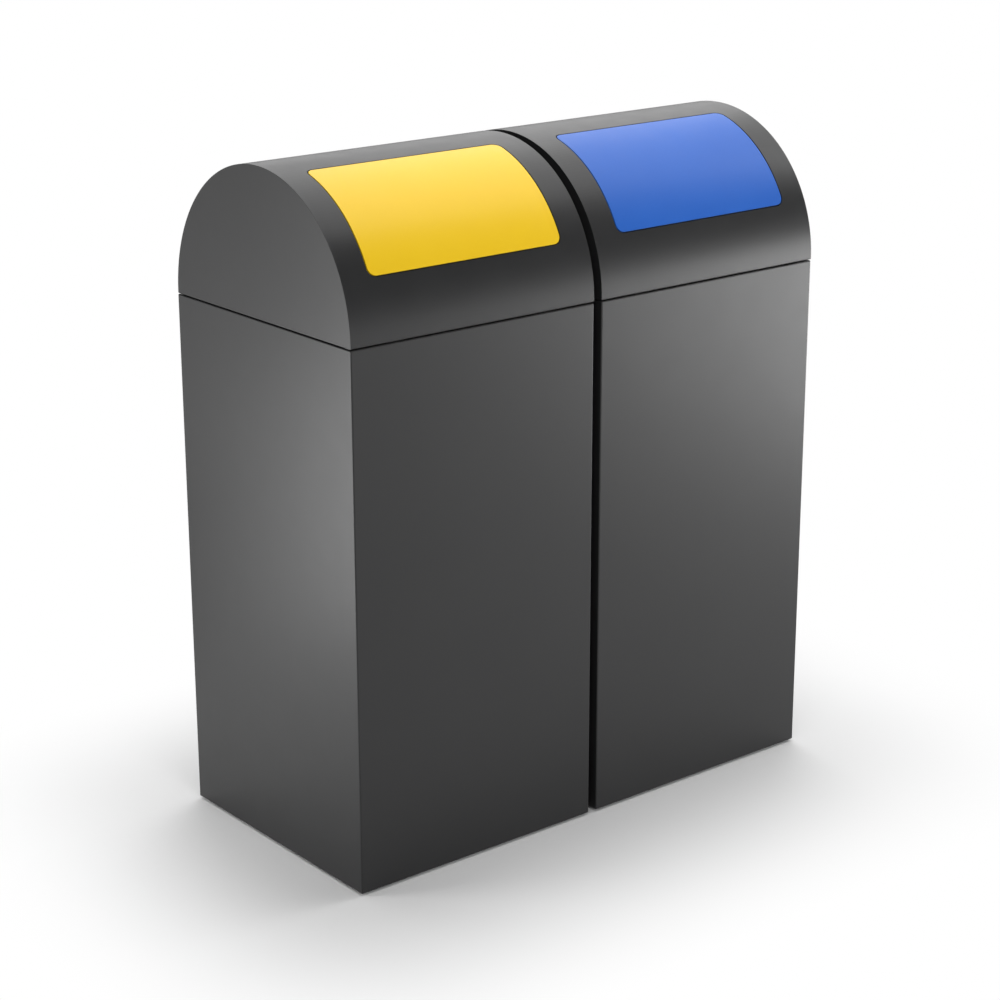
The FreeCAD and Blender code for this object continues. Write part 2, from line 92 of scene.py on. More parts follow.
def addNode(tree, kind, inputs=None, **settings):
    # an input is a value, or another node's output to link
    node = tree.nodes.new(kind)
    for name, value in settings.items():
        setattr(node, name, value)
    for name, value in (inputs or {}).items():
        socket = node.inputs[name]
        if isinstance(value, bpy.types.NodeSocket):
            tree.links.new(value, socket)
        else:
            socket.default_value = value
    return node


def calc(tree, operation, first, second=0.0, third=0.0, clamp=False):
    inputs = {0: first, 1: second, 2: third}
    node = addNode(tree, "ShaderNodeMath", inputs, operation=operation, use_clamp=clamp)
    return node.outputs[0]


def vectorCalc(tree, operation, first, second=(0, 0, 0)):
    return addNode(tree, "ShaderNodeVectorMath", {0: first, 1: second}, operation=operation)


def newTree(name, inputs):
    # a Geometry Nodes tree with named inputs; Geometry comes first
    tree = bpy.data.node_groups.new(name, "GeometryNodeTree")
    tree.interface.new_socket("Geometry", in_out="INPUT", socket_type="NodeSocketGeometry")
    for label, kind in inputs.items():
        tree.interface.new_socket(label, in_out="INPUT", socket_type="NodeSocket" + kind)
    tree.interface.new_socket("Geometry", in_out="OUTPUT", socket_type="NodeSocketGeometry")
    given = tree.nodes.new("NodeGroupInput").outputs
    return tree, given


def endTree(tree, geometry, material):
    shaded = addNode(tree, "GeometryNodeSetShadeSmooth", {"Geometry": geometry, "Shade Smooth": True})
    real = addNode(tree, "GeometryNodeRealizeInstances", {"Geometry": shaded.outputs[0]})
    coated = addNode(tree, "GeometryNodeSetMaterial", {"Geometry": real.outputs[0], "Material": material})
    addNode(tree, "NodeGroupOutput", {"Geometry": coated.outputs[0]})


def runTree(obj, tree, values):
    # sets the inputs by identifier, then turns the result into a plain mesh
    modifier = obj.modifiers.new(tree.name, "NODES")
    modifier.node_group = tree
    for item in tree.interface.items_tree:
        if item.in_out == "INPUT" and item.name in values:
            modifier[item.identifier] = values[item.name]
    return settle(obj)


def settle(obj):
    bpy.context.view_layer.update()
    depsgraph = bpy.context.evaluated_depsgraph_get()
    mesh = bpy.data.meshes.new_from_object(obj.evaluated_get(depsgraph), depsgraph=depsgraph)
    obj.modifiers.clear()
    mesh.name = obj.name
    obj.data = mesh
    return obj


edgeAngle = math.radians(50)     # folds sharper than this are rounded


def softenEdges(obj, width, segments, weighted=False):
    bevel = obj.modifiers.new("edges", "BEVEL")
    bevel.width = width
    bevel.segments = segments
    bevel.limit_method = "WEIGHT" if weighted else "ANGLE"
    bevel.angle_limit = edgeAngle
    bevel.harden_normals = True
    settle(obj)


def newMaterial(name, **settings):
    material = bpy.data.materials.new(name)
    material.use_nodes = True
    shader = material.node_tree.nodes["Principled BSDF"]
    for label, value in settings.items():
        shader.inputs[label].default_value = value
    return material, material.node_tree, shader


def noiseOn(tree, scale, detail=3.0, stretch=(1.0, 1.0, 1.0)):
    place = addNode(tree, "ShaderNodeTexCoord").outputs["Object"]
    if stretch != (1.0, 1.0, 1.0):
        place = addNode(tree, "ShaderNodeMapping", {"Vector": place, "Scale": stretch}).outputs[0]
    noise = addNode(tree, "ShaderNodeTexNoise", {"Vector": place, "Scale": scale, "Detail": detail})
    return noise.outputs["Fac"]


def spread(tree, value, low, high, fromLow=0.3, fromHigh=0.7):
    inputs = {"Value": value, "From Min": fromLow, "From Max": fromHigh, "To Min": low, "To Max": high}
    return addNode(tree, "ShaderNodeMapRange", inputs).outputs["Result"]


def blendColours(tree, factor, first, second):
    node = addNode(tree, "ShaderNodeMix", data_type="RGBA")
    tree.links.new(factor, node.inputs[0])
    for socket, value in ((node.inputs[6], first), (node.inputs[7], second)):
        if isinstance(value, bpy.types.NodeSocket):
            tree.links.new(value, socket)
        else:
            socket.default_value = (*value, 1.0)
    return node.outputs[2]


def setFinish(tree, shader, colour, rough, height, relief):
    tree.links.new(colour, shader.inputs["Base Color"])
    tree.links.new(rough, shader.inputs["Roughness"])
    bump = addNode(tree, "ShaderNodeBump", {"Height": height, "Distance": relief, "Strength": 1.0})
    tree.links.new(bump.outputs[0], shader.inputs["Normal"])


# powder coat: faint clouding, the fine dimples of orange peel, and a little unevenness in the satin
powder = {
    "filmRough": 0.30,
    "cloudScale": 7.0,
    "cloudShare": 0.6,
    "grainScale": 1400.0,
    "grainShare": 0.4,
    "satinScale": 30.0,
    "satinSpread": 0.02,
    "peelScale": 700.0,
}
coats = {
    "anthracite_coat": {
        "dark": (0.0165, 0.0165, 0.0172), "light": (0.0195, 0.0195, 0.0200),
        "rough": 0.42, "gloss": 0.25, "film": 0.24, "peel": 0.00002,
    },
    "black_coat": {
        "dark": (0.0080, 0.0080, 0.0084), "light": (0.0110, 0.0110, 0.0114),
        "rough": 0.50, "gloss": 0.30, "film": 0.10, "peel": 0.00003,
    },
    "yellow_coat": {
        "dark": (0.890, 0.565, 0.008), "light": (0.925, 0.600, 0.011),
        "rough": 0.42, "gloss": 0.25, "film": 0.15, "peel": 0.00002,
    },
    "blue_coat": {
        "dark": (0.018, 0.114, 0.505), "light": (0.022, 0.132, 0.555),
        "rough": 0.42, "gloss": 0.22, "film": 0.10, "peel": 0.00002,
    },
}


def powderCoat(name, look):
    material, tree, shader = newMaterial(name, **{
        "Specular IOR Level": look["gloss"],
        "Coat Weight": look["film"],
        "Coat Roughness": powder["filmRough"],
    })
    clouds = spread(tree, noiseOn(tree, powder["cloudScale"]), 0.0, 1.0)
    grain = spread(tree, noiseOn(tree, powder["grainScale"], detail=1.0), 0.0, 1.0)
    clouded = calc(tree, "MULTIPLY", clouds, powder["cloudShare"])
    grained = calc(tree, "MULTIPLY", grain, powder["grainShare"])
    colour = blendColours(tree, calc(tree, "ADD", clouded, grained), look["dark"], look["light"])
    low, high = look["rough"] - powder["satinSpread"], look["rough"] + powder["satinSpread"]
    rough = spread(tree, noiseOn(tree, powder["satinScale"]), low, high)
    peel = noiseOn(tree, powder["peelScale"], detail=2.0)
    setFinish(tree, shader, colour, rough, peel, look["peel"])
    return material


# hot-dip zinc: flat crystals about 10 mm across, each with its own tone and gloss
hotDip = {
    "crystalScale": 95.0,
    "bendScale": 90.0,
    "bend": 0.012,            # how far the crystals' edges wander
    "dark": (0.44, 0.46, 0.48),
    "light": (0.66, 0.68, 0.70),
    "rough": (0.30, 0.48),
    "relief": 0.00002,
}


def galvanised():
    material, tree, shader = newMaterial("galvanised_steel", Metallic=1.0)
    place = addNode(tree, "ShaderNodeTexCoord").outputs["Object"]
    bend = addNode(tree, "ShaderNodeTexNoise",
                   {"Vector": place, "Scale": hotDip["bendScale"], "Detail": 2.0}).outputs["Color"]
    warped = addNode(tree, "ShaderNodeMix", {"Factor": hotDip["bend"], 4: place, 5: bend},
                     data_type="VECTOR").outputs[1]
    crystals = addNode(tree, "ShaderNodeTexVoronoi", {"Vector": warped, "Scale": hotDip["crystalScale"]})
    tone = addNode(tree, "ShaderNodeSeparateColor", {"Color": crystals.outputs["Color"]})
    colour = blendColours(tree, tone.outputs[0], hotDip["dark"], hotDip["light"])
    rough = spread(tree, tone.outputs[1], *hotDip["rough"], 0.0, 1.0)
    setFinish(tree, shader, colour, rough, crystals.outputs["Distance"], hotDip["relief"])
    return material


# bright zinc plate on small steel parts: a faint brushed grain from side to side
brightPlate = {
    "grainScale": 500.0,
    "grainStretch": (0.06, 1.0, 1.0),
    "tintScale": 40.0,
    "dark": (0.56, 0.57, 0.58),
    "light": (0.68, 0.68, 0.66),
    "rough": (0.24, 0.40),
    "relief": 0.00001,
}


def zincPlate():
    material, tree, shader = newMaterial("zinc_steel", Metallic=1.0)
    grain = noiseOn(tree, brightPlate["grainScale"], stretch=brightPlate["grainStretch"])
    tint = spread(tree, noiseOn(tree, brightPlate["tintScale"]), 0.0, 1.0)
    colour = blendColours(tree, tint, brightPlate["dark"], brightPlate["light"])
    rough = spread(tree, grain, *brightPlate["rough"])
    setFinish(tree, shader, colour, rough, grain, brightPlate["relief"])
    return material


# oiled spring wire: dark and finely mottled, with a straw-brown tint in places
oiledWire = {
    "tintScale": 120.0,
    "dark": (0.19, 0.19, 0.20),
    "straw": (0.27, 0.24, 0.21),
    "roughScale": 900.0,
    "rough": (0.25, 0.36),
    "reliefScale": 1500.0,
    "relief": 0.00001,
}


def springWire():
    material, tree, shader = newMaterial("spring_steel", Metallic=1.0)
    tint = spread(tree, noiseOn(tree, oiledWire["tintScale"]), 0.0, 1.0)
    colour = blendColours(tree, tint, oiledWire["dark"], oiledWire["straw"])
    rough = spread(tree, noiseOn(tree, oiledWire["roughScale"]), *oiledWire["rough"])
    mottle = noiseOn(tree, oiledWire["reliefScale"], detail=2.0)
    setFinish(tree, shader, colour, rough, mottle, oiledWire["relief"])
    return material


# moulded rubber: matt, with a light dust of bloom
mouldedRubber = {
    "gloss": 0.3,
    "bloomScale": 160.0,
    "dark": (0.012, 0.012, 0.012),
    "bloom": (0.026, 0.025, 0.024),
    "roughScale": 60.0,
    "rough": (0.72, 0.86),
    "reliefScale": 2200.0,
    "relief": 0.00004,
}


def rubber():
    settings = {"Specular IOR Level": mouldedRubber["gloss"]}
    material, tree, shader = newMaterial("black_rubber", **settings)
    bloom = spread(tree, noiseOn(tree, mouldedRubber["bloomScale"], detail=4.0), 0.0, 1.0)
    colour = blendColours(tree, bloom, mouldedRubber["dark"], mouldedRubber["bloom"])
    rough = spread(tree, noiseOn(tree, mouldedRubber["roughScale"]), *mouldedRubber["rough"])
    texture = noiseOn(tree, mouldedRubber["reliefScale"], detail=2.0)
    setFinish(tree, shader, colour, rough, texture, mouldedRubber["relief"])
    return material


finishes = {name: powderCoat(name, look) for name, look in coats.items()}
finishes.update({
    "galvanised_steel": galvanised(),
    "zinc_steel": zincPlate(),
    "spring_steel": springWire(),
    "black_rubber": rubber(),
})

slotOf = {}
for nodeName, nodeObject in nodes.items():
    slotOf[nodeName] = nodeObject.data.materials[0].name.split(".")[0]
    nodeObject.data.materials[0] = finishes[slotOf[nodeName]]
print("finishes on", len(nodes), "nodes")


def placePiece(obj, body, slotName, *replaced):
    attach(obj, body)
    if replaced:
        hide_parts(*replaced)


# hood skin and flap panel: flat blanks, rolled to the hood's curve
hood = {
    "sheet": 0.0012,
    "bendRadius": 0.0018,     # outside of the fold over the flange
    "flange": 0.0115,         # folded in under the hood, from the outer face
    "flapGap": 0.0016,
    "foldSteps": 6,
    "step": math.radians(1.5),
    "rowGap": 0.001,          # plain rows of the sheet keep this far from the opening
    "edge": 0.00095,          # ground round along the cheeks; the other edges take a share of it
    "edgeShares": {"inside": 0.2, "opening": 0.35},
    "edgeSegments": 4,
    "sideReach": 0.0001,      # an edge within this of the sheet's side lies on it
}
flap = {"thick": 0.0027, "corner": 0.011, "cornerSteps": 12, "edge": 0.00045, "edgeSegments": 3}
foldPoints = hood["foldSteps"] + 2        # points of the profile before the half circle


def hoodForm(side):
    low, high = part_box(side + "_hood_wrapper")
    radius = (high.y - low.y) / 2
    return {"middle": (low.x + high.x) / 2, "half": (high.x - low.x) / 2, "radius": radius,
            "centre": high.z - radius, "bottom": low.z}


def flapAngles(side, form):
    # measured up from the front horizontal, at the hood's outer face
    low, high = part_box(side + "_flap_panel")
    return math.acos(-low.y / form["radius"]), math.asin((high.z - form["centre"]) / form["radius"])


def hoodProfile(form):
    # outer face of the skin from the front flange's edge over the top to the back flange's edge
    radius, bend = form["radius"], hood["bendRadius"]
    points = [(-(radius - hood["flange"]), form["bottom"])]
    for turn in turnsThrough(0, 90, hood["foldSteps"]):
        points.append((-(radius - bend) - bend * math.sin(turn),
                       form["bottom"] + bend * (1 - math.cos(turn))))
    count = round(math.pi / hood["step"])
    for step in range(count + 1):
        turn = math.pi * step / count
        points.append((-radius * math.cos(turn), form["centre"] + radius * math.sin(turn)))
    back = [(-y, z) for y, z in reversed(points[:foldPoints])]
    return points + back


def lengthsAlong(profile):
    lengths = [0.0]
    for (y0, z0), (y1, z1) in zip(profile, profile[1:]):
        lengths.append(lengths[-1] + math.hypot(y1 - y0, z1 - z0))
    return lengths


def rollTree():
    # lays a flat blank (x across, y along the sheet) onto a profile curve
    tree, given = newTree("rollBlank", {"Profile": "Object", "Finish": "Material"})
    profile = addNode(tree, "GeometryNodeObjectInfo", {"Object": given["Profile"]})
    curve = addNode(tree, "GeometryNodeMeshToCurve", {"Mesh": profile.outputs["Geometry"]})
    place = addNode(tree, "GeometryNodeInputPosition").outputs[0]
    parts = addNode(tree, "ShaderNodeSeparateXYZ", {"Vector": place})
    sample = addNode(tree, "GeometryNodeSampleCurve", mode="LENGTH")
    tree.links.new(curve.outputs[0], sample.inputs["Curves"])
    tree.links.new(parts.outputs["Y"], sample.inputs["Length"])
    across = addNode(tree, "ShaderNodeCombineXYZ", {"X": parts.outputs["X"]})
    rolled = vectorCalc(tree, "ADD", sample.outputs["Position"], across.outputs[0])
    moved = addNode(tree, "GeometryNodeSetPosition",
                    {"Geometry": given["Geometry"], "Position": rolled.outputs[0]})
    endTree(tree, moved.outputs[0], given["Finish"])
    return tree


def roundedRows(low, high, half, corner):
    # (length, half width) rows along a rectangle with round corners
    rows = []
    for turn in turnsThrough(0, 90, flap["cornerSteps"]):
        rows.append((corner * (1 - math.cos(turn)), half - corner + corner * math.sin(turn)))
    return [(low + s, w) for s, w in rows] + [(high - s, w) for s, w in reversed(rows)]


def between(rows, step):
    # adds straight rows so that no strip is longer than a step
    slack = 0.01              # of a step, so that rounding adds no row
    filled = [rows[0]]
    for (s0, w0), (s1, w1) in zip(rows, rows[1:]):
        count = max(1, math.ceil((s1 - s0) / step - slack))
        filled += [(s0 + (s1 - s0) * n / count, w0 + (w1 - w0) * n / count) for n in range(1, count + 1)]
    return filled


def rolledSheet(name, points, faces, profile, thickness, finish):
    guide = newObject("guide", meshFrom("guide", [(0, y, z) for y, z in profile],
                                        [(n, n + 1) for n in range(len(profile) - 1)]))
    obj = newObject(name, meshFrom(name, points, faces=faces))
    runTree(obj, rollBlank, {"Profile": guide, "Finish": finish})
    bpy.data.objects.remove(guide)
    wall = obj.modifiers.new("wall", "SOLIDIFY")
    wall.thickness = thickness
    wall.offset = -1.0
    wall.use_even_offset = True
    return settle(obj)


def weighEdges(obj, form):
    # how much of the rounding each edge of the skin takes
    weights = obj.data.attributes.new("bevel_weight_edge", "FLOAT", "EDGE")
    spots = [v.co for v in obj.data.vertices]
    outer = form["radius"] - hood["sheet"] / 2
    for edge in obj.data.edges:
        spot = (spots[edge.vertices[0]] + spots[edge.vertices[1]]) / 2
        atSide = abs(abs(spot.x - form["middle"]) - form["half"]) < hood["sideReach"]
        reach = math.hypot(spot.y, max(spot.z - form["centre"], 0))
        outside = reach > outer
        share = 1.0 if outside else hood["edgeShares"]["inside"]
        weights.data[edge.index].value = share if atSide else hood["edgeShares"]["opening"]


def hoodSkin(side):
    form = hoodForm(side)
    profile = hoodProfile(form)
    lengths = lengthsAlong(profile)
    lowAngle, highAngle = flapAngles(side, form)
    springing = lengths[foldPoints]
    panelLow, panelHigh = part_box(side + "_flap_panel")
    half = (panelHigh.x - panelLow.x) / 2 + hood["flapGap"]
    corner = flap["corner"] + hood["flapGap"]
    openLow = springing + lowAngle * form["radius"] - hood["flapGap"]
    openHigh = springing + highAngle * form["radius"] + hood["flapGap"]
    narrow = half - corner
    below = [(s, narrow) for s in lengths if s < openLow - hood["rowGap"]]
    above = [(s, narrow) for s in lengths if s > openHigh + hood["rowGap"]]
    opening = between(roundedRows(openLow, openHigh, half, corner), form["radius"] * hood["step"])
    rows = below + opening + above
    middle, wide = form["middle"], form["half"]
    points = [(middle + x, s, 0) for s, w in rows for x in (-wide, -w, w, wide)]
    first, last = len(below), len(below) + len(opening) - 1
    faces = []
    for row in range(len(rows) - 1):
        cells = (0, 2) if first <= row < last else (0, 1, 2)
        faces += [(4 * row + c, 4 * row + c + 1, 4 * row + c + 5, 4 * row + c + 4) for c in cells]
    finish = finishes["anthracite_coat"]
    skin = rolledSheet(side + "HoodSkin", points, faces, profile, hood["sheet"], finish)
    weighEdges(skin, form)
    softenEdges(skin, hood["edge"], hood["edgeSegments"], weighted=True)
    placePiece(skin, side + "_hood", "anthracite_coat", side + "_hood_wrapper")


def flapFace(side):
    form = hoodForm(side)
    profile = hoodProfile(form)
    springing = lengthsAlong(profile)[foldPoints]
    lowAngle, highAngle = flapAngles(side, form)
    low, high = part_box(side + "_flap_panel")
    edges = (springing + lowAngle * form["radius"], springing + highAngle * form["radius"])
    half = (high.x - low.x) / 2
    rows = between(roundedRows(*edges, half, flap["corner"]), form["radius"] * hood["step"])
    points = [(form["middle"] + x, s, 0) for s, w in rows for x in (-w, w)]
    faces = [(2 * row, 2 * row + 1, 2 * row + 3, 2 * row + 2) for row in range(len(rows) - 1)]
    slotName = slotOf[side + "_flap_panel"]
    face = rolledSheet(side + "FlapFace", points, faces, profile, flap["thick"], finishes[slotName])
    softenEdges(face, flap["edge"], flap["edgeSegments"])
    placePiece(face, side + "_flap", slotName, side + "_flap_panel")


rollBlank = rollTree()
for side in bins:
    hoodSkin(side)
    flapFace(side)
print("hood skins and flap panels rolled")


# the rounding of a wire's ends, in wire radii
wireEnd = {"tip": 0.3, "stations": (0.0, 0.08, 0.25, 0.5, 1.0)}


def wireTree():
    # a round wire along a path of edges, its ends rounded off
    inputs = {"Wire Radius": "Float", "Sides": "Int", "Finish": "Material"}
    tree, given = newTree("bentWire", inputs)
    curve = addNode(tree, "GeometryNodeMeshToCurve", {"Mesh": given["Geometry"]}).outputs[0]
    section = addNode(tree, "GeometryNodeCurvePrimitiveCircle",
                      {"Resolution": given["Sides"], "Radius": given["Wire Radius"]})
    along = addNode(tree, "GeometryNodeSplineParameter").outputs["Length"]
    total = addNode(tree, "GeometryNodeSplineLength").outputs["Length"]
    toEnd = calc(tree, "MINIMUM", along, calc(tree, "SUBTRACT", total, along))
    share = calc(tree, "DIVIDE", toEnd, given["Wire Radius"], clamp=True)
    inward = calc(tree, "SUBTRACT", 1.0, share)
    dome = calc(tree, "SQRT", calc(tree, "SUBTRACT", 1.0, calc(tree, "MULTIPLY", inward, inward)))
    scale = calc(tree, "MAXIMUM", dome, wireEnd["tip"])
    tube = addNode(tree, "GeometryNodeCurveToMesh",
                   {"Curve": curve, "Profile Curve": section.outputs[0], "Scale": scale, "Fill Caps": True})
    endTree(tree, tube.outputs[0], given["Finish"])
    return tree


def wirePiece(name, points, radius, sides, finish):
    # extra stations near both ends carry the rounding
    ends = []
    for end, after in ((points[0], points[1]), (points[-1], points[-2])):
        way = (after - end).normalized()
        ends.append([end + way * radius * share for share in wireEnd["stations"]])
    path = ends[0] + points[1:-1] + ends[1][::-1]
    edges = [(n, n + 1) for n in range(len(path) - 1)]
    obj = newObject(name, meshFrom(name, path, edges))
    return runTree(obj, bentWire, {"Wire Radius": radius, "Sides": sides, "Finish": finish})


spring = {
    "wire": 0.0008,
    "coil": 0.0044,           # to the middle of the wire
    "knuckleHalf": 0.14935,   # middle of the bin to the end of the flap's long knuckle
    "sideGap": 0.0015,
    "width": 0.0062,          # from leg to leg along the rod
    "flapLeg": 0.030,
    "hoodLeg": 0.022,
    "play": 0.0001,
    "hoodSurface": 0.1868,    # radii of the two faces that the legs bear on
    "flapSurface": 0.1863,
    "leastTurns": 1.5,
    "extraTurns": 1,
    "stepsPerTurn": 32,
    "sides": 14,
}


def springPath(hand, form, pivot):
    # set out about the rod: "down" runs down the hood's slope and "out" runs out through the skin
    middle = Vector((0, 0, form["centre"]))
    pivotRadius = (pivot - middle).length
    outward = (pivot - middle).normalized()
    slope = Vector((0, -outward.z, outward.y))

    def place(down, out, x):
        return Vector((form["middle"] + hand * x, pivot.y, pivot.z)) + slope * down + outward * out

    def tip(down, surface):
        return down, math.sqrt(surface**2 - down**2) - pivotRadius - spring["wire"] - spring["play"]

    def meets(tipPlace, way):
        # the angle at which the leg to this tip leaves the coil
        lean = math.acos(spring["coil"] / math.hypot(*tipPlace))
        return math.atan2(tipPlace[1], tipPlace[0]) + way * lean

    hoodTip = tip(-spring["hoodLeg"], spring["hoodSurface"])
    flapTip = tip(spring["flapLeg"], spring["flapSurface"])
    first, last = meets(hoodTip, 1), meets(flapTip, -1)
    while last < first + 2 * math.pi * spring["leastTurns"]:
        last += 2 * math.pi
    last += 2 * math.pi * spring["extraTurns"]
    flapX = spring["knuckleHalf"] + spring["sideGap"] + spring["wire"]
    hoodX = flapX + spring["width"]
    count = math.ceil((last - first) / (2 * math.pi) * spring["stepsPerTurn"])
    path = [place(*hoodTip, hoodX)]
    for step in range(count + 1):
        share = step / count
        turn = first + (last - first) * share
        x = hoodX + (flapX - hoodX) * share
        path.append(place(spring["coil"] * math.cos(turn), spring["coil"] * math.sin(turn), x))
    path.append(place(*flapTip, flapX))
    return path, hoodX, flapX


def flapSprings(side):
    form = hoodForm(side)
    axis = joints[side + "_flap_pivot"]["pos_m"]
    pivot = Vector((0, axis[1], axis[2]))
    for hand, word in ((-1, "Left"), (1, "Right")):
        path, hoodX, flapX = springPath(hand, form, pivot)
        name = side + "FlapSpring" + word
        wire = wirePiece(name, path, spring["wire"], spring["sides"], finishes["spring_steel"])
        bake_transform(wire)
    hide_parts(side + "_flap_springs")


bail = {
    "wire": 0.003,
    "bend": 0.006,
    "corner": 0.033,
    "armX": 0.157,            # middle of the liner to the middle of the side arm
    "backY": 0.157,
    "steps": 10,
    "sides": 24,
}


def arcPoints(centre, start, sweep, radius, steps):
    return [(centre[0] + radius * math.cos(turn), centre[1] + radius * math.sin(turn))
            for turn in turnsThrough(start, sweep, steps)]


def linerBail(side):
    low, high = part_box(side + "_bail")
    middle = (low.x + high.x) / 2
    height = (low.z + high.z) / 2
    end = (high.x - low.x) / 2
    arm, back, bend, corner = bail["armX"], bail["backY"], bail["bend"], bail["corner"]
    half = [(end, 0)]
    half += arcPoints((arm + bend, bend), 270, -90, bend, bail["steps"])
    half += arcPoints((arm - corner, back - corner), 0, 90, corner, 2 * bail["steps"])
    whole = half + [(-x, y) for x, y in reversed(half)]
    points = [Vector((middle + x, y, height)) for x, y in whole]
    wire = wirePiece(side + "LinerBail", points, bail["wire"], bail["sides"], finishes["zinc_steel"])
    placePiece(wire, side + "_bail", "zinc_steel", side + "_bail")


bentWire = wireTree()
for side in bins:
    flapSprings(side)
    linerBail(side)
print("springs and bails bent")

# liners: folded walls, rolled rim, flat floor
liner = {
    "sheet": 0.0008,
    "corner": 0.030,
    "cornerSteps": 10,
    "rimWidth": 0.006,
    "rimHeight": 0.006,
    "rimSteps": 8,
    "roll": 0.0015,           # where the rim turns down into the inner wall
    "rollSteps": 4,
    "floorBend": 0.005,
    "bendSteps": 6,
    "crease": math.radians(40),
}


def roundedRing(middle, half, corner, height):
    ring = []
    for quarter, (sx, sy) in enumerate(((1, 1), (-1, 1), (-1, -1), (1, -1))):
        for step in range(liner["cornerSteps"] + 1):
            turn = math.radians(90 * (quarter + step / liner["cornerSteps"]))
            ring.append((middle + sx * (half - corner) + corner * math.cos(turn),
                         sy * (half - corner) + corner * math.sin(turn), height))
    return ring


def linerProfile(base, top):
    # (outset from the outer wall, height), from the floor's underside over the rim to its upper face
    sheet, bend, roll = liner["sheet"], liner["floorBend"], liner["roll"]
    rim, outer = liner["rimHeight"] / 2, liner["rimWidth"]
    inner = bend - sheet
    profile = []
    for turn in turnsThrough(0, 90, liner["bendSteps"]):
        profile.append((-bend + bend * math.sin(turn), base + bend * (1 - math.cos(turn))))
    profile.append((0.0, top - liner["rimHeight"]))
    for turn in turnsThrough(-90, 180, liner["rimSteps"]):
        profile.append((outer - rim + rim * math.cos(turn), top - rim + rim * math.sin(turn)))
    for turn in turnsThrough(90, 90, liner["rollSteps"]):
        profile.append((-sheet + roll * (1 + math.cos(turn)), top - roll * (1 - math.sin(turn))))
    for turn in reversed(turnsThrough(0, 90, liner["bendSteps"])):
        profile.append((-bend + inner * math.sin(turn), base + sheet + inner * (1 - math.cos(turn))))
    return profile


def linerShell(side):
    low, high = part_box(side + "_liner")
    middle = (low.x + high.x) / 2
    half = (high.x - low.x) / 2 - liner["rimWidth"]
    mesh = bmesh.new()
    rings = []
    for outset, height in linerProfile(low.z, high.z):
        places = roundedRing(middle, half + outset, liner["corner"] + outset, height)
        rings.append([mesh.verts.new(p) for p in places])
    count = len(rings[0])
    for lower, upper in zip(rings, rings[1:]):
        for n in range(count):
            mesh.faces.new((lower[n], lower[(n + 1) % count], upper[(n + 1) % count], upper[n]))
    mesh.faces.new(rings[0][::-1])
    mesh.faces.new(rings[-1])
    data = bpy.data.meshes.new(side + "LinerShell")
    mesh.to_mesh(data)
    mesh.free()
    data.materials.append(finishes["galvanised_steel"])
    data.shade_smooth()
    data.set_sharp_from_angle(angle=liner["crease"])
    shell = newObject(side + "LinerShell", data)
    placePiece(shell, side + "_liner", "galvanised_steel", side + "_liner")


for side in bins:
    linerShell(side)
print("liners folded")

# blind rivets on the hinge leaves and the liners' ears
rivet = {
    "head": 0.0042,
    "rise": 0.0012,
    "bore": 0.0013,
    "mandrel": 0.0005,        # how deep the broken mandrel sits in the bore
    "sides": 20,
    "rim": 0.15,              # shares of the rise
    "lip": 0.92,
    "dome": 1.25,             # shares of the bore: where the dome ends, and the mandrel's flat tip
    "tip": 0.4,
    "tipDepth": 0.6,          # share of the mandrel's depth
    "domeSteps": 6,
    "crease": math.radians(45),
}


def rivetHead():
    # turned profile (radius, height): domed flange, and the broken mandrel in its bore
    head, rise, bore, rim = rivet["head"], rivet["rise"], rivet["bore"], rivet["rim"]
    reach = bore * rivet["dome"]
    profile = [(head, 0.0), (head, rim * rise)]
    for turn in turnsThrough(0, 90, rivet["domeSteps"])[1:]:
        profile.append((reach + (head - reach) * math.cos(turn), rise * (rim + (1 - rim) * math.sin(turn))))
    profile.append((bore, rise * rivet["lip"]))
    profile.append((bore, rise - rivet["mandrel"]))
    profile.append((rivet["tip"] * bore, rise - rivet["tipDepth"] * rivet["mandrel"]))
    sides = rivet["sides"]
    points = []
    for radius, height in profile:
        turns = [2 * math.pi * n / sides for n in range(sides)]
        points += [(radius * math.cos(t), radius * math.sin(t), height) for t in turns]
    faces = []
    for ring in range(len(profile) - 1):
        for n in range(sides):
            a, b = ring * sides + n, ring * sides + (n + 1) % sides
            faces.append((a, b, b + sides, a + sides))
    faces.append(tuple(range(sides))[::-1])
    last = (len(profile) - 1) * sides
    faces.append(tuple(range(last, last + sides)))
    return newObject("rivetHead", meshFrom("rivetHead", points, faces=faces))


def rivetTree():
    # a head on every point, its axis along the point's own "facing"
    tree, given = newTree("rivetRow", {"Head": "Object", "Finish": "Material"})
    head = addNode(tree, "GeometryNodeObjectInfo", {"Object": given["Head"], "As Instance": True})
    facing = addNode(tree, "GeometryNodeInputNamedAttribute", {"Name": "facing"}, data_type="FLOAT_VECTOR")
    turn = addNode(tree, "FunctionNodeAlignRotationToVector", {"Vector": facing.outputs[0]}, axis="Z")
    heads = addNode(tree, "GeometryNodeInstanceOnPoints",
                    {"Points": given["Geometry"], "Instance": head.outputs["Geometry"],
                     "Rotation": turn.outputs[0]})
    endTree(tree, heads.outputs[0], given["Finish"])
    return tree


def rivets(name, places, body, slotName):
    mesh = meshFrom(name, [place for place, way in places])
    facing = mesh.attributes.new("facing", "FLOAT_VECTOR", "POINT")
    for number, (place, way) in enumerate(places):
        facing.data[number].vector = way
    obj = newObject(name, mesh)
    runTree(obj, rivetRow, {"Head": headShape, "Finish": finishes[slotName]})
    obj.data.set_sharp_from_angle(angle=rivet["crease"])
    placePiece(obj, body, slotName)


hingeRivets = {"offsets": (-0.060, 0.0, 0.060), "drop": 0.0165, "leaf": 0.0015}
earRivets = {"offsets": (-0.007, 0.007), "rise": 0.0095, "ear": 0.002}


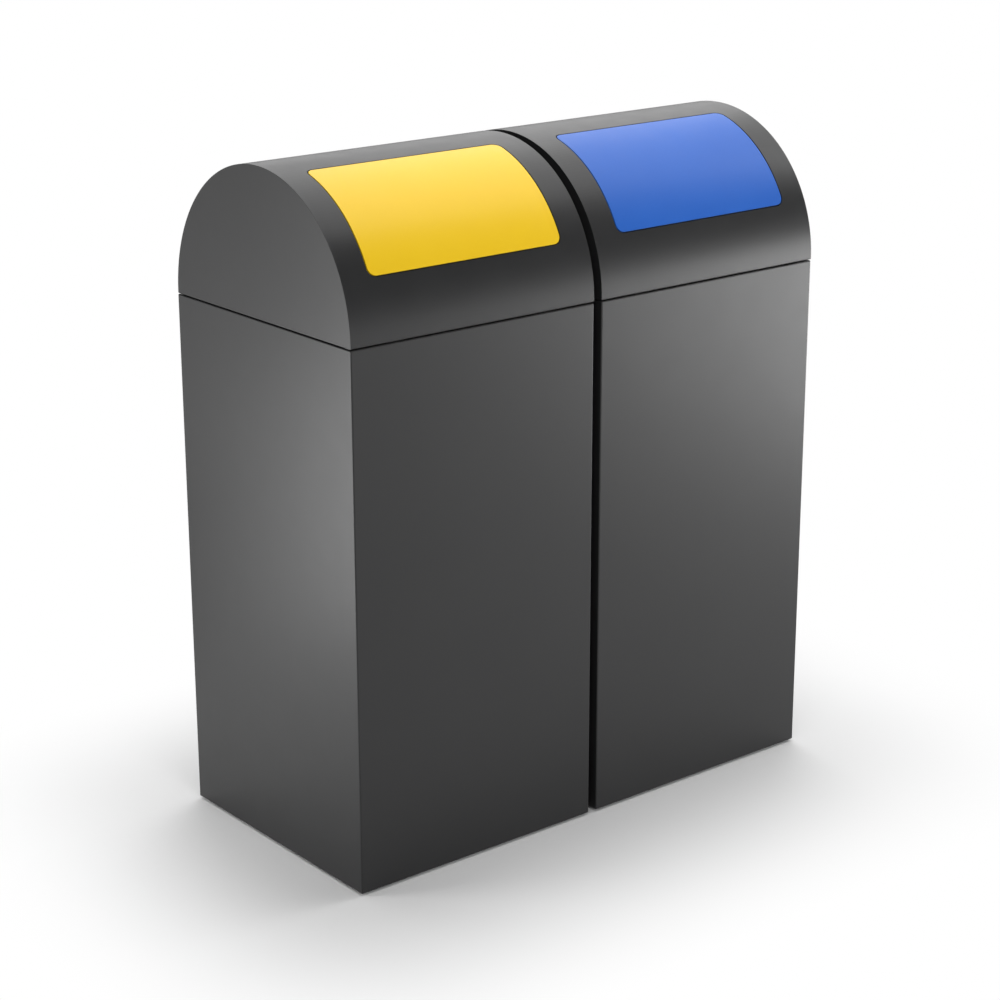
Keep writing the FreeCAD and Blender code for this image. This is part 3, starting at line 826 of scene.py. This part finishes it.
def rivetHinge(side):
    # one row on each leaf, the upper one square to the hood's curve
    form = hoodForm(side)
    backFace = form["radius"] + hingeRivets["leaf"]
    low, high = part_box(side + "_hinge_pin")
    axisHeight = (low.z + high.z) / 2
    below = [(Vector((form["middle"] + x, backFace, axisHeight - hingeRivets["drop"])), (0, 1, 0))
             for x in hingeRivets["offsets"]]
    rivets(side + "CabinetHingeRivets", below, "cabinets", "zinc_steel")
    angle = (axisHeight + hingeRivets["drop"] - form["centre"]) / form["radius"]
    way = Vector((0, math.cos(angle), math.sin(angle)))
    above = [(Vector((form["middle"] + x, 0, form["centre"])) + way * backFace, way)
             for x in hingeRivets["offsets"]]
    rivets(side + "HoodHingeRivets", above, side + "_hood", "zinc_steel")


def rivetEars(side):
    form = hoodForm(side)
    linerLow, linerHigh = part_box(side + "_liner")
    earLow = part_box(side + "_liner_ears")[0]
    wall = (linerHigh.x - linerLow.x) / 2 - liner["rimWidth"] + earRivets["ear"]
    onEars = [(Vector((form["middle"] + hand * wall, y, earLow.z + earRivets["rise"])), (hand, 0, 0))
              for hand in (-1, 1) for y in earRivets["offsets"]]
    rivets(side + "EarRivets", onEars, side + "_liner", "zinc_steel")


headShape = rivetHead()
rivetRow = rivetTree()
for side in bins:
    rivetHinge(side)
    rivetEars(side)
bpy.data.objects.remove(headShape)
print("rivets set")

floor = {
    "size": 40.0,
    "clear": 0.02,            # from the footprint: the floor shows as it is up to here
    "fade": 0.40,             # and is as white as the background from here on
    "colour": 0.85,
    "cloud": 0.005,
    "cloudScale": 3.0,
    "rough": 0.9,
    "gloss": 0.1,
}


def floorPlane():
    half = floor["size"] / 2
    corners = [(-half, -half, 0), (half, -half, 0), (half, half, 0), (-half, half, 0)]
    plane = newObject("floor", meshFrom("floor", corners, faces=[(0, 1, 2, 3)]))
    settings = {"Roughness": floor["rough"], "Specular IOR Level": floor["gloss"]}
    material, tree, shader = newMaterial("paleFloor", **settings)
    low, high = floor["colour"] - floor["cloud"], floor["colour"] + floor["cloud"]
    tone = spread(tree, noiseOn(tree, floor["cloudScale"]), low, high)
    colour = addNode(tree, "ShaderNodeCombineColor", {0: tone, 1: tone, 2: tone})
    tree.links.new(colour.outputs[0], shader.inputs["Base Color"])
    # how far a spot is from the object's footprint
    place = addNode(tree, "ShaderNodeTexCoord").outputs["Object"]
    footprint = (cadBox[1].x, -cadBox[0].y, 0)
    beyond = vectorCalc(tree, "SUBTRACT", vectorCalc(tree, "ABSOLUTE", place).outputs[0], footprint)
    outside = vectorCalc(tree, "MAXIMUM", beyond.outputs[0])
    reach = vectorCalc(tree, "LENGTH", outside.outputs[0]).outputs["Value"]
    away = addNode(tree, "ShaderNodeMapRange",
                   {"Value": reach, "From Min": floor["clear"], "From Max": floor["fade"]},
                   interpolation_type="SMOOTHSTEP").outputs["Result"]
    rays = addNode(tree, "ShaderNodeLightPath").outputs
    seen = calc(tree, "ADD", rays["Is Camera Ray"],
                calc(tree, "ADD", rays["Is Glossy Ray"], rays["Is Transmission Ray"]), clamp=True)
    white = addNode(tree, "ShaderNodeEmission", {"Color": (1, 1, 1, 1), "Strength": 1.0})
    mixed = addNode(tree, "ShaderNodeMixShader", {0: calc(tree, "MULTIPLY", away, seen),
                                                  1: shader.outputs[0], 2: white.outputs[0]})
    tree.links.new(mixed.outputs[0], tree.nodes["Material Output"].inputs["Surface"])
    plane.data.materials.append(material)


# black cards that only reflections see: one draws the hoods' far edge, one darkens the left side's rear
cards = {
    "cardBehind": {"from": (-0.1, 3.1), "to": (3.1, 0.7), "height": 1.1, "colour": 0.02},
    "cardLeft": {"from": (-0.58, 0.55), "to": (-0.75, 1.6), "height": 0.32, "colour": 0.03},
}


def darkCard(name, look):
    ends = [look["from"], look["to"]]
    corners = [(x, y, 0) for x, y in ends] + [(x, y, look["height"]) for x, y in reversed(ends)]
    board = newObject(name, meshFrom(name, corners, faces=[(0, 1, 2, 3)]))
    board.visible_camera = board.visible_diffuse = board.visible_shadow = False
    shade = look["colour"]
    board.data.materials.append(newMaterial("blackCard", **{"Base Color": (shade, shade, shade, 1.0)})[0])


world = {
    "fill": 0.015,             # on matt surfaces, the same from all sides
    "lean": -0.6,              # the pale backdrop stands behind the object
    "paleTo": 0.20,
    "darkFrom": 0.50,
    "backdrop": 0.05,
    "ceiling": 0.005,
    "seen": 1.0,               # by the camera, where 1 is white
}


def studioWorld():
    scene.world = bpy.data.worlds.new("studio")
    scene.world.use_nodes = True
    scene.world.cycles.sampling_method = "NONE"
    tree = scene.world.node_tree
    way = addNode(tree, "ShaderNodeTexCoord").outputs["Generated"]
    parts = addNode(tree, "ShaderNodeSeparateXYZ", {"Vector": way})
    height = calc(tree, "MULTIPLY_ADD", parts.outputs["Y"], world["lean"], parts.outputs["Z"])
    backdrop = addNode(tree, "ShaderNodeMapRange",
                       {"Value": height, "From Min": world["paleTo"], "From Max": world["darkFrom"],
                        "To Min": world["backdrop"], "To Max": world["ceiling"]},
                       interpolation_type="SMOOTHSTEP").outputs["Result"]
    rays = addNode(tree, "ShaderNodeLightPath").outputs
    mirrored = calc(tree, "ADD", rays["Is Glossy Ray"], rays["Is Transmission Ray"], clamp=True)
    unseen = addNode(tree, "ShaderNodeMix", {"Factor": mirrored, "A": world["fill"], "B": backdrop})
    level = addNode(tree, "ShaderNodeMix",
                    {"Factor": rays["Is Camera Ray"], "A": unseen.outputs[0], "B": world["seen"]})
    background = tree.nodes["Background"]
    background.inputs["Color"].default_value = (1.0, 1.0, 1.0, 1.0)
    tree.links.new(level.outputs[0], background.inputs["Strength"])


# places, aims and sizes are given; the radiances were fitted to the tones of the photograph
lamps = {
    "overhead": {
        "place": (0.9, 0.6, 2.5), "aim": (0.9, 0.6, 0.0),
        "size": (3.6, 3.0), "radiance": 2.3,
    },
    "key": {
        "place": (-2.6, -2.3, 2.1), "aim": (0, 0, 0.8),
        "size": (1.6, 1.6), "radiance": 2.2,
    },
    "keyFront": {
        "place": (-0.9, -3.2, 1.9), "aim": (0, -0.1, 0.6),
        "size": (1.4, 1.0), "radiance": 6.7,
    },
    "frontRight": {
        "place": (1.85, -1.35, 0.36), "aim": (0.3, -0.1, 0.36),
        "size": (1.2, 0.72), "radiance": 5.4,
    },
    "rightTop": {
        "place": (1.9, -0.4, 1.7), "aim": (0.38, 0, 0.85),
        "size": (0.8, 0.6), "radiance": 4.8,
    },
    "backRight": {
        "place": (2.1, 2.7, 1.95), "aim": (0, 0, 0.9),
        "size": (3.0, 1.8), "radiance": 1.5,
    },
    "leftSoft": {
        "place": (-1.1, 0.3, 0.45), "aim": (-0.38, -0.1, 0.4),
        "size": (0.35, 0.8), "radiance": 4.3,
    },
    "leftMiddle": {
        "place": (-1.05, 0.38, 0.26), "aim": (-0.38, -0.1, 0.28),
        "size": (0.5, 0.45), "radiance": 4.3, "reflectionOnly": True,
    },
    "leftTall": {
        "place": (-1.25, 0.5, 0.65), "aim": (-0.38, -0.15, 0.5),
        "size": (0.45, 0.9), "radiance": 1.2, "reflectionOnly": True,
    },
    "rightTall": {
        "place": (1.6, -0.85, 0.35), "aim": (0.38, -0.15, 0.38),
        "size": (0.7, 0.8), "radiance": 5.7, "reflectionOnly": True,
    },
}


def softbox(name, look):
    data = bpy.data.lights.new(name, "AREA")
    data.shape = "RECTANGLE"
    data.size, data.size_y = look["size"]
    data.energy = look["radiance"] * math.pi * look["size"][0] * look["size"][1]
    lamp = newObject(name, data)
    lamp.location = look["place"]
    lamp.visible_camera = False
    lamp.visible_diffuse = not look.get("reflectionOnly", False)
    aim = Vector(look["aim"]) - Vector(look["place"])
    lamp.rotation_euler = aim.to_track_quat("-Z", "Y").to_euler()


# fitted to the edges of the cabinets and hoods in the photograph
camera = {
    "place": (-2.0009, -2.4592, 1.4383),
    "azimuth": -39.039,
    "elevation": 18.124,
    "roll": -0.0985,
    "focalPixels": 2438.87,
    "imagePixels": 1000,
    "sensor": 36.0,
}


def photoCamera():
    data = bpy.data.cameras.new("photoCamera")
    data.sensor_width = camera["sensor"]
    data.lens = camera["focalPixels"] / camera["imagePixels"] * camera["sensor"]
    azimuth, elevation, roll = (math.radians(camera[k]) for k in ("azimuth", "elevation", "roll"))
    back = Vector((math.sin(azimuth) * math.cos(elevation), -math.cos(azimuth) * math.cos(elevation),
                   math.sin(elevation)))
    right = Vector((0, 0, 1)).cross(back).normalized()
    up = back.cross(right)
    turnedRight = right * math.cos(roll) + up * math.sin(roll)
    turnedUp = up * math.cos(roll) - right * math.sin(roll)
    obj = newObject("photoCamera", data)
    axes = Matrix((turnedRight, turnedUp, back)).transposed().to_4x4()
    obj.matrix_world = Matrix.Translation(camera["place"]) @ axes
    scene.camera = obj


floorPlane()
for cardName, look in cards.items():
    darkCard(cardName, look)
studioWorld()
for lampName, look in lamps.items():
    softbox(lampName, look)
photoCamera()
scene.view_settings.view_transform = "Standard"
print("studio ready")
